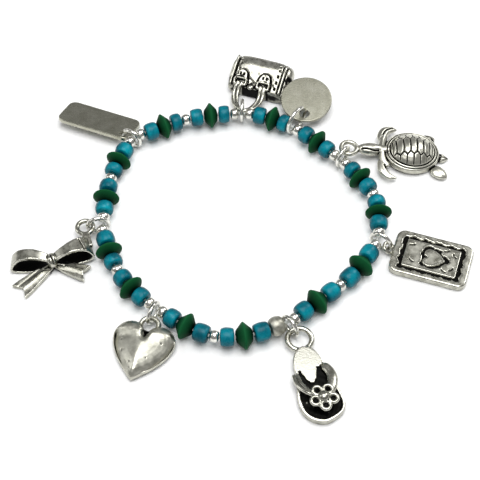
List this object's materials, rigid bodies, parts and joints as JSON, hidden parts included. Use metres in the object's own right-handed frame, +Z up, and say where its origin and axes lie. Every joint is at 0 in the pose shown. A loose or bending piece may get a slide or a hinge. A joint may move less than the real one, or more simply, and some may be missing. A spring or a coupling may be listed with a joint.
{
  "type": "charm bracelet",
  "caption": "Stretch charm bracelet of turquoise and dark green glass beads with silver spacers and silver charms on jump rings.",
  "frame": {"origin": "middle of the bracelet's footprint with all its charms, on the surface it lies on", "axes": "+Z up from the surface; the bar tag lies towards -X and +Y, the card towards +X, the sandal and the heart towards -Y"},
  "size_m": [0.1002, 0.0968, 0.0072],
  "materials": {
    "turquoise_glass": "glossy translucent glass",
    "green_frosted_glass": "frosted glass",
    "polished_silver": "polished",
    "antiqued_silver": "cast, polished on its raised parts and darkened in its recesses"
  },
  "bodies": {
    "root": {"turquoise_bead_01": "turquoise_glass", "turquoise_bead_02": "turquoise_glass", "turquoise_bead_03": "turquoise_glass", "turquoise_bead_04": "turquoise_glass", "turquoise_bead_05": "turquoise_glass", "turquoise_bead_06": "turquoise_glass", "turquoise_bead_07": "turquoise_glass", "turquoise_bead_08": "turquoise_glass", "turquoise_bead_09": "turquoise_glass", "turquoise_bead_10": "turquoise_glass", "turquoise_bead_11": "turquoise_glass", "turquoise_bead_12": "turquoise_glass", "turquoise_bead_13": "turquoise_glass", "turquoise_bead_14": "turquoise_glass", "turquoise_bead_15": "turquoise_glass", "turquoise_bead_16": "turquoise_glass", "turquoise_bead_17": "turquoise_glass", "turquoise_bead_18": "turquoise_glass", "turquoise_bead_19": "turquoise_glass", "turquoise_bead_20": "turquoise_glass", "turquoise_bead_21": "turquoise_glass", "turquoise_bead_22": "turquoise_glass", "turquoise_bead_23": "turquoise_glass", "turquoise_bead_24": "turquoise_glass", "turquoise_bead_25": "turquoise_glass", "turquoise_bead_26": "turquoise_glass", "turquoise_bead_27": "turquoise_glass", "turquoise_bead_28": "turquoise_glass", "green_bead_01": "green_frosted_glass", "green_bead_02": "green_frosted_glass", "green_bead_03": "green_frosted_glass", "green_bead_04": "green_frosted_glass", "green_bead_05": "green_frosted_glass", "green_bead_06": "green_frosted_glass", "green_bead_07": "green_frosted_glass", "green_bead_08": "green_frosted_glass", "green_bead_09": "green_frosted_glass", "green_bead_10": "green_frosted_glass", "green_bead_11": "green_frosted_glass", "green_bead_12": "green_frosted_glass", "green_bead_13": "green_frosted_glass", "green_bead_14": "green_frosted_glass", "silver_spacers_on_elastic": "polished_silver", "jump_ring_bar_tag": "polished_silver", "jump_ring_handbag": "polished_silver", "jump_ring_round_tag": "polished_silver", "jump_ring_turtle": "polished_silver", "jump_ring_card": "polished_silver", "jump_ring_flip_flop": "polished_silver", "jump_ring_heart": "polished_silver", "jump_ring_bow": "polished_silver", "bar_tag_charm": "antiqued_silver", "handbag_charm": "antiqued_silver", "round_tag_charm": "antiqued_silver", "turtle_charm": "antiqued_silver", "card_charm": "antiqued_silver", "flip_flop_charm": "antiqued_silver", "heart_charm": "antiqued_silver", "bow_charm": "antiqued_silver"}
  },
  "joints": []
}
